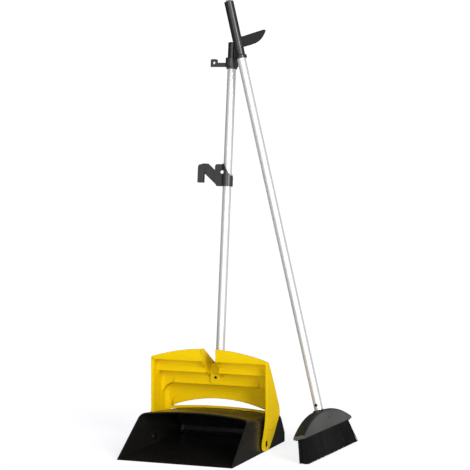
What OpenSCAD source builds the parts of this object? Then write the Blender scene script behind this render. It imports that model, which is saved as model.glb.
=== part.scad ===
// Upright dust pan and brush set.
// A roofed scoop hangs between the two arms of a hood. The hood carries a tall tube handle, and the
// scoop swings up under it when the set is lifted. A long brush leans over beside the handle.
// Depths are measured back from the lip of the pan and heights from the floor. The whole set is then
// moved forward so that the origin lies on the floor under the middle of the pan.

/* [Pan] */
// Outside width of the pan at its lip
pan_w = 277; // [271:0.5:277.5]
// Height of the middle of the roof at its front rim
roof_h = 95.5; // [90:0.5:96]
// Wall thickness of the pan
pan_t = 2.6; // [2:0.1:3]
// Slope of the roof down to the back, in degrees
roof_slope = 5.68; // [5:0.01:6]

/* [Hood] */
// Outside width over the two arms
hood_w = 289.6; // [288:0.1:294]
// Height of the middle of the hood's top edge
crest_h = 229; // [226:0.5:236]
// Wall thickness of the hood
hood_t = 2.8; // [2.4:0.1:3]
// Width of the channel in the middle of the hood
channel_w = 32; // [30:0.5:36]

/* [Pivot] */
// Radius of each pivot pin
pin_r = 3.95; // [3.5:0.05:4.5]
// Running clearance round each pivot pin, on the radius
pin_gap = 0.08; // [0.05:0.01:0.1]

/* [Handle] */
// Outside radius of the pan's handle tube
tube_r = 10; // [9.6:0.05:10]
// Wall thickness of both tubes
tube_t = 1.2; // [0.8:0.1:1.6]
// Height of the closed top of the handle
handle_top = 934; // [920:1:936]
// Lean of the handle towards the back, in degrees
handle_lean = 6.505; // [6:0.005:7]

/* [Brush] */
// Length of the moulded head
head_l = 292; // [260:1:300]
// Thickness of the moulded head
head_t = 28; // [27:0.5:32]
// Length of the trimmed bristle edge
bristle_l = 320; // [300:1:330]
// Outside radius of the brush's tube
brush_r = 10; // [9.6:0.05:10]
// Length of the brush, measured along its handle to the closed end of the grip
brush_l = 1070; // [1062:1:1080]

/* [Quality] */
// Facets on round parts, for the on-screen preview
$fn = 96; // [48:8:160]

/* [Hidden] */
eps = 0.01;
// middle of the pan, measured back from the lip
pan_mid = 172;
// half width of the pan's outside, and how much it narrows for each millimetre of height
side_x = pan_w / 2;
side_k = 0.063;
// the roof is a very flat arch with rounded shoulders
roof_r = 1050;
shoulder_r = 13;
// height of the roof's middle above the sloping base line of the cross-section
roof_top = roof_h * cos(roof_slope) + 121 * sin(roof_slope);
// shoulder centres, found by closing in on the arch and the side line together
sq = sqrt(1 + side_k * side_k);
function shoulder_z(x) = roof_top - roof_r + sqrt(pow(roof_r - shoulder_r, 2) - x * x);
function shoulder_x(z) = side_x - side_k * z - shoulder_r * sq;
cz0 = shoulder_z(110);
cx1 = shoulder_x(cz0);
cz1 = shoulder_z(cx1);
cx2 = shoulder_x(cz1);
cz2 = shoulder_z(cx2);
sh_x = shoulder_x(cz2);
sh_z = shoulder_z(sh_x);
// back wall: upright foot, then leaning forward by this many degrees
back_y = 360.5;
back_lean = 30;
back_w = 322.85;
back_r = 14;
// pivot axis of the hood
piv_y = 202;
piv_z = 20;
// inside and outside half widths of the hood's arms
arm_out = hood_w / 2;
arm_in = arm_out - 5.8;
// the four stepped bands of the hood: depth of each face and height of each lower edge;
// the last one ends on the roof of the pan
y1 = 212;
y2 = 235;
y3 = 258;
y4 = 281;
z1 = 200.5;
z2 = 171;
z3 = 140.5;
z4 = 67;
crest_r = 462;
// lens-shaped window low in the hood: upper arc, lower arc and half width
arch_r = 330;
arch_top = 104.5;
arch_w = 117.5;
sill_r = 1300;
sill_top = 86;
// gap between the lower edge of the hood and the roof of the pan
roof_gap = 1.2;
// handle axis: a point low on it and its end stations
axis_z = 143.5;
axis_y = 273.6;
handle_l = (handle_top - axis_z) / cos(handle_lean);
// brush axis: where it meets the floor, and how it leans
foot_x = 277.54;
foot_y = 255.97;
foot_side = 15.41;
foot_turn = 3.07;
foot_along = 4.15;
foot_off = -6.5;
head_top = 98;
head_low = 55;
head_r = 320;

// ---- placing ----

// Moves depths measured from the lip so that the origin lies under the middle of the pan.
module set_down() {
  translate([0, -pan_mid, 0]) children();
}

// Frame of the handle tube: height runs along the tube.
module on_handle() {
  set_down()
    translate([0, axis_y, axis_z])
      rotate([-handle_lean, 0, 0])
        children();
}

// Frame of the brush head: X across its thickness, Y along it, Z up its face.
module on_head() {
  set_down()
    translate([foot_x, foot_y, 0])
      rotate([0, -foot_side, -foot_turn])
        children();
}

// Frame of the brush's tube inside the frame of its head.
module on_brush() {
  on_head()
    translate([0, foot_off, 0])
      rotate([-foot_along, 0, 0])
        children();
}

// A flat shape drawn as depth and height, given a width between two sides.
module slab_x(x0, x1) {
  translate([x0, 0, 0])
    rotate([90, 0, 90])
      linear_extrude(height = x1 - x0)
        children();
}

// A flat shape drawn as side and height, given a depth between two faces.
module slab_y(ya, yb) {
  translate([0, yb, 0])
    rotate([90, 0, 0])
      linear_extrude(height = yb - ya)
        children();
}

function arc(cx, cy, r, a0, a1, n) =
  [for (i = [0:n]) [cx + r * cos(a0 + (a1 - a0) * i / n), cy + r * sin(a0 + (a1 - a0) * i / n)]];

// ---- pan ----

// Cross-section of the pan, taken in by a wall thickness t.
module pan_section(t) {
  a_side = atan(side_k);
  a_roof = atan2(sh_z - (roof_top - roof_r), sh_x);
  low = -70;
  x_low = side_x - side_k * low - t * sq;
  right = arc(sh_x, sh_z, shoulder_r - t, a_side, a_roof, 10);
  crown = arc(0, roof_top - roof_r, roof_r - t, a_roof, 180 - a_roof, 28);
  left = arc(-sh_x, sh_z, shoulder_r - t, 180 - a_roof, 180 - a_side, 10);
  mid = [for (i = [1:len(crown) - 2]) crown[i]];
  polygon(concat([[x_low, low]], right, mid, left, [[-x_low, low]]));
}

// Plan outline with rounded back corners: back edge at depth y, corners in by d from the sides.
module pan_plan(y, r, d) {
  w = side_x + 12;
  h = side_x - d - (back_r - r);
  union() {
    translate([-w, -60]) square([2 * w, y - back_r + 60 + (back_r - r) - 30]);
    translate([-h, y - 80]) square([2 * h, 80 - r]);
    translate([-h + r, y - r - 1]) square([2 * (h - r), r + 1]);
    translate([h - r, y - r]) circle(r);
    translate([-h + r, y - r]) circle(r);
  }
}

// The pan's outer shape (t = 0) or its hollow (t = wall), before the mouth is cut.
module pan_lump(t) {
  intersection() {
    rotate([-roof_slope, 0, 0])
      translate([0, 450, 0])
        rotate([90, 0, 0])
          linear_extrude(height = 520)
            pan_section(t);
    linear_extrude(height = 260, center = true)
      pan_plan(back_y - t, back_r - t, 2.2);
    rotate([back_lean, 0, 0])
      translate([0, 0, -260])
        linear_extrude(height = 520)
          pan_plan(back_w - t, back_r + 1.3 - t, 2.7);
  }
}

module pan_body() {
  outer = [[0, 0], [345, 0], [351.5, 1.3], [356.5, 4.6], [359.6, 9], [361, 13],
           [400, 40], [400, 150], [205.2, 150]];
  inner = [[-40, -0.6], [0, 1], [45, 2.8], [344.6, 2.8], [350.2, 3.8], [354.4, 6.6], [357.2, 10.6],
           [358.6, 14.5], [400, 60], [400, 160], [-40, 160]];
  color([0.05, 0.05, 0.05])
  set_down()
  difference() {
    union() {
      difference() {
        intersection() {
          pan_lump(0);
          slab_x(-160, 160) polygon(outer);
        }
        intersection() {
          pan_lump(pan_t);
          slab_x(-160, 160) polygon(inner);
        }
      }
      for (s = [-1, 1]) {
        translate([s * (side_x - 3.4), piv_y, piv_z])
          rotate([0, 90, 0])
            cylinder(h = 6, r = 11, center = true);
      }
    }
    for (s = [-1, 1]) {
      translate([s * (side_x - 3), piv_y, piv_z])
        rotate([0, 90, 0])
          cylinder(h = 20, r = pin_r, center = true);
    }
  }
}

// Two shouldered pins: inner dome, shank through wall and arm, wide flat outer head.
module pivot_pins() {
  x_in = side_x - 6.4;
  x_out = arm_out - 0.6;
  color([0.07, 0.07, 0.08])
  set_down()
  for (s = [-1, 1]) {
    translate([0, piv_y, piv_z])
      rotate([0, s * 90, 0])
        translate([0, 0, x_in])
          union() {
            cylinder(h = x_out - x_in, r = pin_r);
            translate([0, 0, -2.2]) cylinder(h = 2.2, r = 7);
            translate([0, 0, x_out - x_in - 1.6]) cylinder(h = 1.6, r = 7);
          }
  }
}

// ---- hood ----

// Side outline of one arm.
arm_line = [[184.6, 18], [185, 13], [187, 8.6], [191, 5.4], [196.5, 3.9], [203, 3.6], [213, 3.9],
            [219.5, 6], [224.5, 9.6], [240, 22.8], [260, 42.3], [277, 61.5], [286, 70], [289.6, 74],
            [290.8, 78.5], [290.3, 84], [287.2, 94], [273.5, 116], [260, 139.6], [246.4, 160.6],
            [233, 181], [216.5, 204], [212.8, 206.8], [209.6, 207.5], [209.6, 97], [209, 84],
            [205.5, 68], [200, 52.5], [193, 38], [187, 27]];
// Shallow panel inside the bead round the arm's outer face.
arm_panel = [[213.6, 196], [213.6, 95], [213, 83], [209.4, 66.5], [203.6, 50], [234, 47],
             [257, 47.5], [273.2, 65.6], [284.6, 77], [285.4, 82], [282.5, 91], [269.2, 112.4],
             [255.6, 136.2], [242, 157.4], [229, 177.6], [216, 196]];

// Plan outline of one pocket of the hood: a round-cornered box that deepens the one in front.
module pocket(w, y, r) {
  union() {
    translate([-w, 120]) square([2 * w, y - r - 120]);
    translate([-w + r, y - r - 1]) square([2 * (w - r), r + 1]);
    translate([w - r, y - r]) circle(r);
    translate([-w + r, y - r]) circle(r);
  }
}

// Front outline of one pocket: square below, with its two top corners rounded by q.
module pocket_front(w, za, zb, q) {
  union() {
    translate([-w, za]) square([2 * w, zb - q - za]);
    translate([-w + q, zb - q - 1]) square([2 * (w - q), q + 1]);
    translate([w - q, zb - q]) circle(q);
    translate([-w + q, zb - q]) circle(q);
  }
}

// One pocket between two heights, grown outwards by t.
module pocket_block(w, y, r, q, za, zb, t) {
  intersection() {
    translate([0, 0, za])
      linear_extrude(height = zb + t + 3 - za)
        pocket(w + t, y + t, r + t);
    slab_y(60, 330) pocket_front(w + t + 0.4, za - 5, zb + t, q + t);
  }
}

// All four pockets. With t they make the outside of the hood, without it the hollow.
module pockets(t, drop, top) {
  union() {
    translate([0, 0, z4 - drop])
      linear_extrude(height = top - z4 + drop)
        pocket(arm_in + t, y1 + t, 8 + t);
    pocket_block(arm_in - 1, y2, 10, 8, z4 - drop, z1, t);
    pocket_block(arm_in - 1.7, y3, 8, 12, z4 - drop, z2, t);
    pocket_block(arm_in - 2.5, y4, 11, 33, z4 - drop, z3, t);
  }
}

// Everything below the arched top edge.
module under_crest() {
  translate([0, 400, crest_h - crest_r])
    rotate([90, 0, 0])
      cylinder(h = 300, r = crest_r, $fn = 240);
}

// Side outline of the walls of the middle channel.
channel_line = [[209.9, 232], [214.8, 232], [285, 190], [285, 158], [258.5, 158], [209.9, 200.5]];

// Rolled lip along the lower edge of a band: face depth y, edge height z, half width w.
module band_lip(y, z, w) {
  slab_x(-w, w)
    polygon([[y + 1, z], [y - 5.6, z], [y - 5.6, z + 1.2], [y - 4.4, z + 3.4], [y - 2.7, z + 7],
             [y - 1.2, z + 11], [y - 0.4, z + 15], [y + 0.1, z + 19], [y + 1, z + 19]]);
}

// Lens-shaped window between an upper and a lower arc.
module window() {
  intersection() {
    translate([0, 320, arch_top - arch_r])
      rotate([90, 0, 0])
        difference() {
          cylinder(h = 80, r = arch_r, $fn = 240);
          translate([0, sill_top - sill_r - arch_top + arch_r, -1])
            cylinder(h = 82, r = sill_r, $fn = 240);
        }
    translate([-arch_w, 230, 40]) cube([2 * arch_w, 90, 100]);
  }
}

module hood_shell() {
  intersection() {
    union() {
      difference() {
        union() {
          difference() {
            pockets(hood_t, 0, 240);
            pockets(0, 20, 300);
            translate([-200, 60, -50]) cube([400, y1 - 60, 400]);
          }
          band_lip(y1, z1, arm_in + 0.5);
          band_lip(y2, z2, arm_in - 0.6);
          band_lip(y3, z3, arm_in - 34);
        }
        // middle channel
        translate([-channel_w / 2, 190, z2 - 0.2]) cube([channel_w, 120, 100]);
        window();
        pan_lump(-roof_gap);
      }
      // brow over the window
      intersection() {
        translate([0, y4 + 1, arch_top - arch_r])
          rotate([90, 0, 0])
            rotate_extrude($fn = 240)
              polygon([[arch_r, 0], [arch_r, 6], [arch_r + 1.6, 6.6], [arch_r + 20, 0]]);
        pocket_block(arm_in - 2.5, y4, 11, 33, 76, 140, 1);
        translate([-arch_w, 200, 76]) cube([2 * arch_w, 100, 60]);
      }
      // walls and sloping floor of the channel
      for (s = [-1, 1]) {
        slab_x(min(s * channel_w / 2, s * (channel_w / 2 + 2.6)),
               max(s * channel_w / 2, s * (channel_w / 2 + 2.6)))
          polygon(channel_line);
      }
      slab_x(-channel_w / 2 - eps, channel_w / 2 + eps)
        polygon([[254.6, 166], [257.6, 163], [261, 169.5], [285, 186.6], [285, 190], [263, 189]]);
      // socket behind the channel
      translate([0, axis_y, axis_z])
        rotate([-handle_lean, 0, 0])
          union() {
            translate([0, 0, -1.5]) cylinder(h = 48, r = 14);
            translate([-12, -14.5, -1.5]) cube([24, 14.5, 36]);
          }
      // boss for the screw
      translate([0, y3 + 1, 0])
        slab_y(-7.4, 0)
          translate([0, 154.2])
            union() {
              square([24.6, 15.6], center = true);
              square([16.6, 23.6], center = true);
              for (a = [-1, 1]) {
                for (b = [-1, 1]) {
                  translate([a * 8.3, b * 7.8]) circle(4);
                }
              }
            }
    }
    under_crest();
  }
}

module hood_arm(s) {
  inner = s > 0 ? arm_in : -arm_out;
  face = s > 0 ? arm_out - 0.8 : -arm_out - 1;
  difference() {
    slab_x(inner, inner + arm_out - arm_in) polygon(arm_line);
    slab_x(face, face + 1.8) polygon(arm_panel);
    translate([s * arm_out, piv_y, piv_z])
      rotate([0, 90, 0])
        cylinder(h = 20, r = pin_r + pin_gap, center = true);
    translate([s * arm_out, piv_y, piv_z])
      rotate([0, 90, 0])
        cylinder(h = 5, r = 7.6, center = true);
  }
}

module hood() {
  color([0.88, 0.68, 0.05])
  set_down()
  difference() {
    union() {
      hood_shell();
      intersection() {
        union() {
          hood_arm(-1);
          hood_arm(1);
        }
        under_crest();
      }
    }
    // bore for the handle tube
    translate([0, axis_y, axis_z])
      rotate([-handle_lean, 0, 0])
        cylinder(h = 200, r = tube_r + 0.04);
    // screw hole with its counterbore
    translate([0, 247, 157.5])
      rotate([-90, 0, 0])
        cylinder(h = 8, r = 3.7);
    translate([0, 250, 157.5])
      rotate([-90, 0, 0])
        cylinder(h = 20, r = 2.05);
  }
}

module socket_screw() {
  color([0.10, 0.10, 0.11])
  set_down()
  translate([0, 252.6, 157.5])
    rotate([-90, 0, 0])
      difference() {
        union() {
          cylinder(h = 2.4, r = 3.4);
          cylinder(h = 17.5, r = 2);
        }
        translate([-0.4, -2.2, -1]) cube([0.8, 4.4, 1.8]);
        translate([-2.2, -0.4, -1]) cube([4.4, 0.8, 1.8]);
      }
}

// ---- handle ----

module handle_tube() {
  color([0.78, 0.79, 0.81])
  difference() {
    on_handle()
      difference() {
        cylinder(h = handle_l - 4, r = tube_r);
        translate([0, 0, -1]) cylinder(h = handle_l, r = tube_r - tube_t);
      }
    set_down()
      translate([0, 250, 157.5])
        rotate([-90, 0, 0])
          cylinder(h = 20, r = 2.05);
  }
}

// Closed sleeve on the top of the handle.
module handle_grip() {
  low = (898 - axis_z) / cos(handle_lean);
  color([0.04, 0.04, 0.04])
  on_handle()
    difference() {
      rotate_extrude()
        polygon([[0, low], [tube_r + 0.6, low], [tube_r + 0.6, handle_l - 1.2],
                 [tube_r + 0.2, handle_l - 0.4], [tube_r - 0.6, handle_l], [0, handle_l]]);
      translate([0, 0, low - 1]) cylinder(h = handle_l - low - 3, r = tube_r + 0.03);
    }
}

// Collar with an arm and an upright eye plate: the cradle at the top of the handle.
module upper_holder() {
  s0 = (872 - axis_z) / cos(handle_lean);
  color([0.06, 0.06, 0.06])
  on_handle()
    translate([0, 0, s0])
      difference() {
        union() {
          cylinder(h = 6, r = 12.8);
          translate([0, 0, 5]) cylinder(h = 20.6, r = 15.2);
          translate([0, 0, 25.6]) cylinder(h = 0.5, r = 14.4);
          // arm
          translate([-40, -3.2, 5]) cube([30, 6.4, 9.6]);
          // upright plate with round shoulders
          translate([-52.6, -3.2, 5]) cube([15.6, 6.4, 15.6]);
          translate([-50.1, -3.2, 5]) cube([10.6, 6.4, 18.1]);
          for (x = [-50.1, -39.5]) {
            translate([x, 3.2, 20.6])
              rotate([90, 0, 0])
                cylinder(h = 6.4, r = 2.5);
          }
        }
        translate([0, 0, -1]) cylinder(h = 40, r = tube_r + 0.02);
        // hanging eye
        translate([-44.8, 5, 14.6])
          rotate([90, 0, 0])
            cylinder(h = 10, r = 3.6);
        // hole for the clamp screw
        translate([8, 0, 13])
          rotate([0, 90, 0])
            cylinder(h = 12, r = 1.8);
      }
}

module holder_screw() {
  s0 = (872 - axis_z) / cos(handle_lean) + 13;
  color([0.10, 0.10, 0.11])
  on_handle()
    translate([0, 0, s0])
      rotate([0, 90, 0])
        union() {
          translate([0, 0, tube_r + 0.1]) cylinder(h = 6.3, r = 1.75);
          translate([0, 0, 15.3]) cylinder(h = 2, r = 3.2);
        }
}

// Clip on the middle of the handle: collar, body, slanting strap and outer finger.
module mid_clip() {
  s0 = (598.5 - axis_z) / cos(handle_lean);
  color([0.09, 0.09, 0.09])
  on_handle()
    translate([0, 0, s0])
      difference() {
        union() {
          // collar, cut on a slant
          difference() {
            cylinder(h = 52.5, r = 13.4);
            translate([-7.5, -30, 52.5])
              rotate([0, 58, 0])
                cube([60, 60, 60]);
          }
          // body plate with a rounded top
          slab_y(-8, 2)
            union() {
              translate([-24.5, 0]) square([18, 47.5]);
              polygon([[-29, 8.5], [-24.5, 1.2], [-20, 0], [-20, 48], [-27.5, 48], [-29, 46]]);
              translate([-23.5, 46]) circle(5.3);
              translate([-11, 46]) circle(5.3);
              translate([-23.5, 40]) square([12.5, 11.3]);
            }
          // slanting strap
          slab_y(-1, 7)
            polygon([[-57, 28.6], [-26.8, 2.4], [-22, 2.4], [-22, 35], [-35.2, 38.8], [-51, 52.6],
                     [-57, 52.6]]);
          // outer finger with a rounded top
          translate([-72.2, -8, 7.4]) cube([14.4, 10, 36]);
          translate([-65, 2, 43.4])
            rotate([90, 0, 0])
              cylinder(h = 10, r = 7.2);
          translate([-65, -1, 30]) cube([11, 8, 22.6]);
          translate([-72.2, -1, 30]) cube([12, 8, 15]);
        }
        translate([0, 0, -1]) cylinder(h = 60, r = tube_r + 0.02);
        // round hole beside the tube
        translate([-13.2, 0, 33])
          rotate([90, 0, 21])
            cylinder(h = 60, r = 4.2, center = true);
      }
}

// ---- brush ----

module brush_head() {
  edge = [[250, -head_t / 2], [head_r - 4, -head_t / 2], [head_r - 1.9, -head_t / 2 + 0.9],
          [head_r - 0.6, -head_t / 2 + 2.4], [head_r, -head_t / 2 + 4.4],
          [head_r, head_t / 2 - 4.4], [head_r - 0.6, head_t / 2 - 2.4],
          [head_r - 1.9, head_t / 2 - 0.9], [head_r - 4, head_t / 2], [250, head_t / 2]];
  color([0.17, 0.17, 0.17])
  difference() {
    union() {
      on_head()
        intersection() {
          translate([0, 0, head_top - head_r])
            rotate([0, 90, 0])
              rotate_extrude($fn = 240) polygon(edge);
          translate([-20, -head_l / 2, head_low]) cube([40, head_l, 60]);
        }
      on_brush() translate([0, 0, 62]) cylinder(h = 37.6, r = head_t / 2 - 0.2);
    }
    // recess for the bristle block
    on_head() translate([-11.6, -head_l / 2 + 4, head_low - 1]) cube([23.2, head_l - 8, 7]);
    // bore for the tube
    on_brush() translate([0, 0, 66]) cylinder(h = 60, r = brush_r + 0.02);
    // slit beside the socket, ending in a round hole
    on_head() translate([head_t / 2 - 3.2, 14.6, 78]) cube([6, 1.2, 40]);
    on_head()
      translate([head_t / 2 - 3.2, 15.2, 78])
        rotate([0, 90, 0])
          cylinder(h = 6, r = 1.9);
  }
}

module bristle_block() {
  color([0.05, 0.05, 0.05])
  on_head()
    translate([-11.4, -head_l / 2 + 4.2, head_low - 2.4])
      cube([22.8, head_l - 8.4, 8.2]);
}

// Spread bundle of bristles, trimmed level with the floor.
module bristles() {
  top = head_low - 2.4;
  color([0.04, 0.04, 0.04])
  intersection() {
    on_head()
      intersection() {
        slab_x(-30, 30)
          polygon([[-bristle_l / 2 - 2, -12], [bristle_l / 2 + 2, -12], [head_l / 2 - 5.5, top],
                   [-head_l / 2 + 5.5, top]]);
        slab_y(-200, 200)
          polygon([[-15, -12], [15, -12], [10.6, top], [-10.6, top]]);
      }
    translate([100, -300, 0]) cube([400, 600, 200]);
  }
}

module brush_tube() {
  color([0.78, 0.79, 0.81])
  on_brush()
    difference() {
      translate([0, 0, 66]) cylinder(h = brush_l - 72, r = brush_r);
      translate([0, 0, 65]) cylinder(h = brush_l, r = brush_r - tube_t);
      translate([0, 0, 111])
        rotate([90, 0, 0])
          cylinder(h = 30, r = 1.65);
    }
}

// Rivet low on the tube, on the side that faces the near end of the head.
module brush_rivet() {
  color([0.12, 0.12, 0.11])
  on_brush()
    translate([0, 0, 111])
      rotate([90, 0, 0])
        union() {
          translate([0, 0, brush_r - tube_t - 2]) cylinder(h = tube_t + 2.2, r = 1.6);
          translate([0, 0, brush_r + 0.01]) cylinder(h = 1.4, r = 3.4);
        }
}

// Closed grip with a ring at its lower end and a flat-topped wing at one side.
module brush_grip() {
  low = 932;
  wing = [[9, 957.4], [30, 957], [42, 957.6], [50, 959.4], [57, 962.6], [63, 967], [68.5, 972.6],
          [72, 976.8], [73.6, 979.6], [73, 980.8], [70, 981.4], [44, 981.2], [16, 980.8],
          [12.4, 982], [9, 986]];
  color([0.05, 0.05, 0.05])
  on_brush()
    difference() {
      union() {
        rotate_extrude()
          polygon([[0, low], [13, low], [13.8, low + 0.8], [13.8, low + 6.4], [13, low + 7.4],
                   [brush_r + 1, low + 8.4], [brush_r + 1, brush_l - 1.2],
                   [brush_r + 0.6, brush_l - 0.3], [brush_r - 0.4, brush_l], [0, brush_l]]);
        slab_y(-4, 4) polygon(wing);
      }
      translate([0, 0, low - 1]) cylinder(h = brush_l - low - 4, r = brush_r + 0.03);
    }
}

// Pale hanging eye standing on the end of the grip.
module hang_eye() {
  color([0.62, 0.62, 0.62])
  on_brush()
    translate([0, 2, brush_l])
      rotate([90, 0, 0])
        linear_extrude(height = 4)
          difference() {
            union() {
              translate([-5.2, 0]) square([10.4, 8]);
              translate([0, 10]) circle(8);
            }
            translate([0, 10]) circle(4.2);
          }
}

// ---- show ----

pan_body();
pivot_pins();
hood();
socket_screw();
handle_tube();
handle_grip();
upper_holder();
holder_screw();
mid_clip();
brush_head();
bristle_block();
bristles();
brush_tube();
brush_rivet();
brush_grip();
hang_eye();
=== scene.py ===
"""Looks of the upright dust pan and brush set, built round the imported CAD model."""

import math
import random

import bpy
from mathutils import Euler, Matrix, Vector


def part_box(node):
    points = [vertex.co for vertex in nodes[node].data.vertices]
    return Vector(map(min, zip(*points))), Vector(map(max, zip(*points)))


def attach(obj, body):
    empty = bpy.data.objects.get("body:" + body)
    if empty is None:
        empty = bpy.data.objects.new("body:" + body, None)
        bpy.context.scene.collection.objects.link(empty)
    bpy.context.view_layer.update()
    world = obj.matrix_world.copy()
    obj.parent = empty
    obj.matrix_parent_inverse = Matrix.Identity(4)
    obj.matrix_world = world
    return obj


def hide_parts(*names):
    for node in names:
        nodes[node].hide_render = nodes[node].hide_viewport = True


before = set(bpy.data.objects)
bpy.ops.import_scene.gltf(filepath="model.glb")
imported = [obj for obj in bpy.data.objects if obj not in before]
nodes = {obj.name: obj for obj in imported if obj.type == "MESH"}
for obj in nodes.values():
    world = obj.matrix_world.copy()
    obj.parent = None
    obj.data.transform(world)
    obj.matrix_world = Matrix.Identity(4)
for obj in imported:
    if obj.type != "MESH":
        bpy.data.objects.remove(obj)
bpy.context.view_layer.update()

SEED = 11

# the brush head's lean and turn, and how far its block's middle is up its own frame
HEAD_LEAN, HEAD_TURN = math.radians(15.41), math.radians(3.07)
BLOCK_RISE = 0.0567

# the tufts: rows and columns of holes, and strands in each
TUFT_ROWS, TUFT_COLUMNS, TUFT_STRANDS = 4, 34, 34
# heights in the head's frame where the strands start, under the block, and where they aim
ROOT_Z, AIM_Z = 0.0526, -0.012
# about how far the outermost tufts are from the middle along the head, at those two heights
HALF_TOP, HALF_LOW = 0.1375, 0.1585

# ---- shader helpers ----


def new_material(name):
    """A material, its node tree and its Principled shader."""
    material = bpy.data.materials.new(name)
    material.use_nodes = True
    tree = material.node_tree
    shader = tree.nodes["Principled BSDF"]
    return material, tree, shader


def add(tree, kind, **inputs):
    """Adds one node. Input names take underscores for spaces. A socket links, other values are set."""
    node = tree.nodes.new(kind)
    for key, value in inputs.items():
        socket = node.inputs[key.replace("_", " ")]
        if isinstance(value, bpy.types.NodeSocket):
            tree.links.new(value, socket)
        else:
            socket.default_value = value
    return node


def object_coords(tree, scale=(1, 1, 1)):
    """Object coordinates, stretched by scale."""
    coords = tree.nodes.new("ShaderNodeTexCoord")
    mapping = add(tree, "ShaderNodeMapping", Scale=scale)
    tree.links.new(coords.outputs["Object"], mapping.inputs["Vector"])
    return mapping.outputs["Vector"]


def noise(tree, vector, scale, detail=3.0, rough=0.5):
    """Noise texture value."""
    node = add(tree, "ShaderNodeTexNoise", Vector=vector, Scale=scale, Detail=detail, Roughness=rough)
    return node.outputs["Fac"]


def ramp(tree, value, stops):
    """Colour ramp over a value. Stops are (position, colour)."""
    node = tree.nodes.new("ShaderNodeValToRGB")
    tree.links.new(value, node.inputs["Fac"])
    points = node.color_ramp.elements
    while len(points) < len(stops):
        points.new(0.5)
    for point, (position, colour) in zip(points, stops):
        point.position = position
        point.color = (*colour, 1.0)
    return node.outputs["Color"]


def span(tree, value, low, high):
    """Maps a 0-1 value onto low-high."""
    node = add(tree, "ShaderNodeMapRange", Value=value)
    node.inputs["To Min"].default_value = low
    node.inputs["To Max"].default_value = high
    return node.outputs["Result"]


def combined(tree, operation, first, *others):
    """Joins values with one math operation."""
    for other in others:
        node = add(tree, "ShaderNodeMath")
        node.operation = operation
        tree.links.new(first, node.inputs[0])
        tree.links.new(other, node.inputs[1])
        first = node.outputs[0]
    return first


def lined_up(tree, direction, way):
    """Dot product of a direction with a fixed way."""
    dot = add(tree, "ShaderNodeVectorMath")
    dot.operation = "DOT_PRODUCT"
    tree.links.new(direction, dot.inputs[0])
    dot.inputs[1].default_value = way
    return dot.outputs["Value"]


def sheer(tree, normal, way, low, high):
    """1 where a surface faces along a line, either way, and 0 where it turns off it."""
    size = add(tree, "ShaderNodeMath")
    size.operation = "ABSOLUTE"
    tree.links.new(lined_up(tree, normal, way), size.inputs[0])
    return ramp(tree, size.outputs[0], [(low, (0, 0, 0)), (high, (1, 1, 1))])


def bumped(tree, shader, heights, edge=0.0):
    """Chains bumps (value, strength, distance) onto the shader's normal, over softened edges."""
    normal = None
    if edge > 0:
        bevel = tree.nodes.new("ShaderNodeBevel")
        bevel.samples = 6
        bevel.inputs["Radius"].default_value = edge
        normal = bevel.outputs["Normal"]
    for value, strength, distance in heights:
        bump = add(tree, "ShaderNodeBump", Height=value, Strength=strength, Distance=distance)
        if normal is not None:
            tree.links.new(normal, bump.inputs["Normal"])
        normal = bump.outputs["Normal"]
    tree.links.new(normal, shader.inputs["Normal"])


def shade(colour):
    """sRGB 0-255 to linear."""
    shares = [c / 255 for c in colour]
    return tuple(c / 12.92 if c <= 0.04045 else ((c + 0.055) / 1.055) ** 2.4 for c in shares)


# ---- materials ----


def moulded(name, dark, light, rough=(0.35, 0.5), edge=0.0008, grain=900.0, sag=14.0, specular=0.32):
    """Moulded plastic: faint cloudy colour, fine grain and a slow waviness of the surface."""
    material, tree, shader = new_material(name)
    at = object_coords(tree)
    clouds = noise(tree, at, sag, 4.0)
    fine = noise(tree, at, grain, 2.0)
    scuffs = noise(tree, object_coords(tree, (1.0, 1.0, 0.25)), sag * 9, 6.0, 0.65)
    tree.links.new(ramp(tree, clouds, [(0.3, dark), (0.7, light)]), shader.inputs["Base Color"])
    tree.links.new(span(tree, scuffs, rough[0], rough[1]), shader.inputs["Roughness"])
    bumped(tree, shader, [(clouds, 0.12, 0.004), (fine, 0.10, 0.0003)], edge)
    shader.inputs["Specular IOR Level"].default_value = specular
    return material


def yellow_plastic():
    """The hood: warm yellow, slightly deeper in the clouds of the moulding."""
    deep, warm = (0.77, 0.515, 0.0015), (0.85, 0.585, 0.002)
    return moulded(
        "yellow_plastic", deep, warm, (0.36, 0.48), edge=0.0014, grain=1200.0, sag=10.0, specular=0.06
    )


def pan_plastic():
    """The pan: black, semi-gloss, with fine scratches that run back from the lip."""
    material, tree, shader = new_material("pan_plastic")
    at = object_coords(tree)
    clouds = noise(tree, at, 12.0, 4.0)
    streaks = noise(tree, object_coords(tree, (1.0, 0.04, 0.4)), 420.0, 4.0, 0.7)
    fine = noise(tree, at, 1500.0, 2.0)
    colour = ramp(tree, clouds, [(0.3, shade((24, 23, 22))), (0.7, shade((32, 31, 29)))])
    tree.links.new(colour, shader.inputs["Base Color"])
    tree.links.new(span(tree, streaks, 0.23, 0.34), shader.inputs["Roughness"])
    bumped(tree, shader, [(clouds, 0.05, 0.004), (streaks, 0.03, 0.0002), (fine, 0.02, 0.0001)], 0.0009)
    shader.inputs["Specular IOR Level"].default_value = 0.4
    return material


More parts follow.
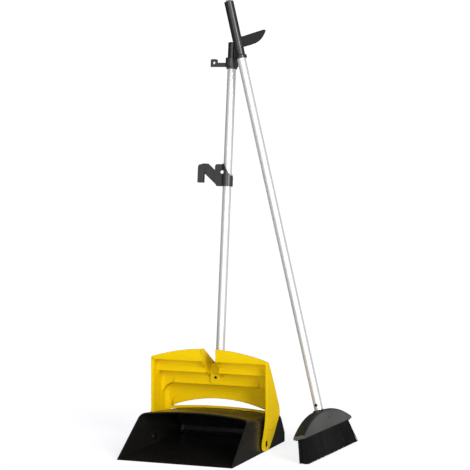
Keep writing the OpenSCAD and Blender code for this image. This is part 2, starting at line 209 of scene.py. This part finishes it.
def satin_tube(name, tilt):
    """Satin aluminium tube: handling marks, and faint draw lines that tilt turns to lie along it."""
    material, tree, shader = new_material(name)
    coords = tree.nodes.new("ShaderNodeTexCoord")
    turn = add(tree, "ShaderNodeMapping", Rotation=tilt)
    tree.links.new(coords.outputs["Object"], turn.inputs["Vector"])
    along = add(tree, "ShaderNodeMapping", Vector=turn.outputs["Vector"], Scale=(1.0, 1.0, 0.015))
    lines = noise(tree, along.outputs["Vector"], 900.0, 5.0, 0.7)
    marks = noise(tree, turn.outputs["Vector"], 26.0, 5.0, 0.6)
    colour = ramp(tree, lines, [(0.3, shade((212, 212, 210))), (0.7, shade((230, 230, 229)))])
    tree.links.new(colour, shader.inputs["Base Color"])
    tree.links.new(span(tree, marks, 0.30, 0.44), shader.inputs["Roughness"])
    bumped(tree, shader, [(lines, 0.10, 0.0002)])
    shader.inputs["Metallic"].default_value = 0.5
    return material


def dark_steel():
    """Blackened screws, pins and rivet: grainy oxide with brighter worn spots."""
    material, tree, shader = new_material("dark_steel")
    at = object_coords(tree)
    grain = noise(tree, at, 1400.0, 4.0)
    wear = noise(tree, at, 300.0, 4.0)
    colour = ramp(tree, wear, [(0.45, shade((30, 30, 31))), (0.75, shade((70, 70, 72)))])
    tree.links.new(colour, shader.inputs["Base Color"])
    tree.links.new(span(tree, grain, 0.25, 0.5), shader.inputs["Roughness"])
    bumped(tree, shader, [(grain, 0.2, 0.0002)], 0.0004)
    shader.inputs["Metallic"].default_value = 0.8
    return material


def bristle_fibre():
    """Black synthetic bristle: a thin gloss, each strand a little different."""
    material, tree, shader = new_material("bristle_fibre")
    at = object_coords(tree)
    strands = noise(tree, object_coords(tree, (1.0, 1.0, 0.08)), 700.0, 3.0)
    clumps = noise(tree, at, 60.0, 3.0)
    mixed = combined(tree, "MULTIPLY", strands, clumps)
    colour = ramp(tree, mixed, [(0.1, shade((7, 7, 7))), (0.5, shade((22, 22, 21)))])
    tree.links.new(colour, shader.inputs["Base Color"])
    tree.links.new(span(tree, strands, 0.45, 0.65), shader.inputs["Roughness"])
    shader.inputs["Specular IOR Level"].default_value = 0.12
    return material


def head_plastic():
    """The brush head: black, with painted light set by the way the surface faces: grey on the broad faces
    for their side lit from the right, and grey on the ends for a painted highlight.
    """
    # the grey of this moulding is painted light: the broad faces lit from the right and the painted
    # highlight on the ends
    material = moulded("head_plastic", shade((70, 70, 68)), shade((84, 84, 82)), (0.36, 0.48), 0.0012)
    tree = material.node_tree
    shader = tree.nodes["Principled BSDF"]
    grey = shader.inputs["Base Color"].links[0].from_socket
    normal = tree.nodes.new("ShaderNodeNewGeometry").outputs["True Normal"]
    turned = head_frame().to_3x3()
    # painted light: faces along the head's broad sides take the lit grey
    broad = sheer(tree, normal, turned @ Vector((1, 0, 0)), 0.90, 0.96)
    # painted highlight: the ends of the head take the grey too
    end = sheer(tree, normal, turned @ Vector((0, 1, 0)), 0.975, 0.995)
    mix = add(tree, "ShaderNodeMix")
    mix.data_type = "RGBA"
    tree.links.new(combined(tree, "MAXIMUM", broad, end), mix.inputs["Factor"])
    # faces turned off both lines are black; the grey on the others is painted light
    mix.inputs[6].default_value = (*shade((18, 18, 18)), 1.0)
    tree.links.new(grey, mix.inputs[7])
    tree.links.new(mix.outputs[2], shader.inputs["Base Color"])
    return material


def head_frame():
    """The leaning frame of the brush head: z up its middle, origin BLOCK_RISE below the block's middle."""
    spin = Euler((0, -HEAD_LEAN, -HEAD_TURN), "XYZ").to_matrix().to_4x4()
    low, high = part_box("bristle_block")
    middle = (low + high) / 2
    return Matrix.Translation(middle) @ spin @ Matrix.Translation(Vector((0, 0, -BLOCK_RISE)))


def paint(material, *names):
    """Gives CAD nodes a material."""
    for name in names:
        mesh = nodes[name].data
        mesh.materials.clear()
        mesh.materials.append(material)


paint(pan_plastic(), "pan_body")
paint(yellow_plastic(), "hood")
paint(satin_tube("handle_aluminium", (math.radians(6.5), 0, 0)), "handle_tube")
paint(satin_tube("brush_aluminium", (math.radians(5), math.radians(15), 0)), "brush_tube")
grip_black = moulded("grip_black", shade((12, 12, 11)), shade((20, 20, 19)), (0.26, 0.36), specular=0.75)
paint(grip_black, "handle_grip", "brush_grip")
clip_black = moulded("clip_black", shade((24, 24, 23)), shade((36, 36, 35)), (0.28, 0.4), specular=0.9)
paint(clip_black, "upper_holder", "mid_clip")
paint(head_plastic(), "brush_head")
paint(moulded("block_black", shade((14, 14, 14)), shade((22, 22, 22)), (0.5, 0.65)), "bristle_block")
paint(moulded("eye_grey", shade((176, 177, 178)), shade((196, 196, 196)), (0.4, 0.5)), "hang_eye")
paint(dark_steel(), "pivot_pins", "socket_screw", "holder_screw", "brush_rivet")

# ---- bristles ----


def strand(verts, faces, root, tip, radius):
    """Adds one three-sided strand."""
    along = (tip - root).normalized()
    side = along.cross(Vector((0, 1, 0))).normalized()
    other = along.cross(side)
    first = len(verts)
    taper = 0.8
    for end, r in ((root, radius), (tip, radius * taper)):
        for k in range(3):
            a = 2 * math.pi * k / 3
            verts.append(end + (side * math.cos(a) + other * math.sin(a)) * r)
    for k in range(3):
        n = (k + 1) % 3
        faces.append((first + k, first + n, first + 3 + n, first + 3 + k))
    faces.append((first + 2, first + 1, first))
    faces.append((first + 3, first + 4, first + 5))


def bristle_tufts():
    """Rows of tufts that spread from the block and are cut level with the floor."""
    rng = random.Random(SEED)
    head = head_frame()
    verts, faces = [], []
    half_across, tuft_across, tuft_along = 0.0082, 0.0022, 0.0032
    flare, stray_across, stray_along = 1.36, 0.0008, 0.0015
    uneven, strand_radius = 0.0008, 0.00042
    for row in range(TUFT_ROWS):
        v = (row + 0.5) / TUFT_ROWS * 2 - 1
        for column in range(TUFT_COLUMNS):
            # alternate rows are staggered by half a column
            u = (column + 0.5 + (0.25 if row % 2 else -0.25)) / TUFT_COLUMNS * 2 - 1
            for _ in range(TUFT_STRANDS):
                a, r = rng.uniform(0, 2 * math.pi), math.sqrt(rng.random())
                x = v * half_across + tuft_across * r * math.cos(a)
                y = u * HALF_TOP + tuft_along * r * math.sin(a)
                spread = rng.gauss(0, stray_along)
                x_low = x * flare + rng.gauss(0, stray_across)
                y_low = y * HALF_LOW / HALF_TOP + spread
                root = head @ Vector((x, y, ROOT_Z))
                tip = head @ Vector((x_low, y_low, AIM_Z))
                share = (root.z - uneven * rng.random()) / (root.z - tip.z)
                strand(verts, faces, root, root.lerp(tip, share), strand_radius)
    mesh = bpy.data.meshes.new("bristle_tufts")
    mesh.from_pydata(verts, [], faces)
    mesh.update()
    tufts = bpy.data.objects.new("bristle_tufts", mesh)
    bpy.context.scene.collection.objects.link(tufts)
    mesh.materials.append(bristle_fibre())
    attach(tufts, "brush")
    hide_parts("bristles")


bristle_tufts()

# ---- stage ----


def floor():
    """Plain pale floor, wide enough to fill the picture, with a little light of its own."""
    mesh = bpy.data.meshes.new("floor")
    reach = 400.0
    corners = [(-reach, -reach, 0), (reach, -reach, 0), (reach, reach, 0), (-reach, reach, 0)]
    mesh.from_pydata(corners, [], [(0, 1, 2, 3)])
    obj = bpy.data.objects.new("floor", mesh)
    # a hair below the object's underside
    obj.location.z = -0.0002
    # the photograph is cut out on white: the pan and the hood mirror no floor
    obj.visible_glossy = False
    bpy.context.scene.collection.objects.link(obj)
    material, tree, shader = new_material("pale_floor")
    speck = noise(tree, object_coords(tree), 3.0, 3.0)
    colour = ramp(tree, speck, [(0.3, (0.50, 0.50, 0.51)), (0.7, (0.53, 0.53, 0.54))])
    tree.links.new(colour, shader.inputs["Base Color"])
    shader.inputs["Roughness"].default_value = 0.9
    shader.inputs["Specular IOR Level"].default_value = 0.1
    shader.inputs["Emission Color"].default_value = (0.97, 0.97, 1.0, 1.0)
    shader.inputs["Emission Strength"].default_value = 0.8
    mesh.materials.append(material)


def aimed(obj, place, target):
    """Puts a light somewhere and turns it to face a point."""
    obj.location = place
    obj.rotation_euler = (Vector(target) - Vector(place)).to_track_quat("-Z", "Y").to_euler()
    bpy.context.scene.collection.objects.link(obj)


def key_light(place, strength, spread):
    """A broad even light from one side of the sky."""
    data = bpy.data.lights.new("key", "SUN")
    data.energy = strength
    data.angle = math.radians(spread)
    aimed(bpy.data.objects.new("key", data), place, (0, 0, 0))


def facing(tree, direction, towards, low, high, value_low, value_high):
    """How far a world direction faces along towards, mapped onto value_low-value_high."""
    node = add(tree, "ShaderNodeMapRange", Value=lined_up(tree, direction, towards))
    node.inputs["From Min"].default_value = low
    node.inputs["From Max"].default_value = high
    node.inputs["To Min"].default_value = value_low
    node.inputs["To Max"].default_value = value_high
    return node.outputs["Result"]


def studio():
    """A world that lights by direction, and a broad key from the right. Only the camera sees white."""
    world = bpy.data.worlds.new("studio")
    bpy.context.scene.world = world
    world.use_nodes = True
    tree = world.node_tree
    direction = tree.nodes.new("ShaderNodeTexCoord").outputs["Generated"]
    # what lights the object: a soft box and a pale wall ahead, side walls, and dark low down behind it
    soft_box = facing(tree, direction, (0.10, -0.97, 0.12), 0.93, 0.985, 0.0, 4.4)
    front_wall = facing(tree, direction, (0.1, -0.98, 0.12), 0.0, 0.9, 0.0, 0.52)
    side_walls = facing(tree, direction, (0.933, 0.359, 0), -0.6, 1.0, 0.10, 0.44)
    room = combined(tree, "MAXIMUM", soft_box, front_wall, side_walls)
    high = facing(tree, direction, (0, 0, 1), 0.22, 0.40, 0.0, 1.0)
    not_behind = facing(tree, direction, (0, 1, 0), 0.7, 0.93, 1.0, 0.06)
    lit = combined(tree, "MULTIPLY", room, combined(tree, "MAXIMUM", high, not_behind))
    background = tree.nodes["Background"]
    background.inputs["Color"].default_value = (1, 1, 1, 1)
    # the picture's own background is plain white, which the object's surfaces don't mirror
    white = 1.05
    to_camera = tree.nodes.new("ShaderNodeLightPath").outputs["Is Camera Ray"]
    seen = add(tree, "ShaderNodeMix", Factor=to_camera)
    tree.links.new(lit, seen.inputs[2])
    seen.inputs[3].default_value = white
    tree.links.new(seen.outputs[0], background.inputs["Strength"])
    key_light((1.9, -1.4, 0.74), 2.0, 30)


def camera():
    """The photograph's viewpoint, as it was fitted to the photograph, with no roll."""
    place = (1.69674, -4.20433, 0.86211)
    tilt, pan = math.radians(85.38), math.radians(21.044)
    data = bpy.data.cameras.new("camera")
    data.sensor_width = 36.0
    data.lens = 153.29
    data.clip_end = 100
    obj = bpy.data.objects.new("camera", data)
    obj.location = place
    obj.rotation_euler = (tilt, 0, pan)
    bpy.context.scene.collection.objects.link(obj)
    bpy.context.scene.camera = obj


floor()
studio()
camera()
bpy.context.scene.view_settings.view_transform = "Standard"
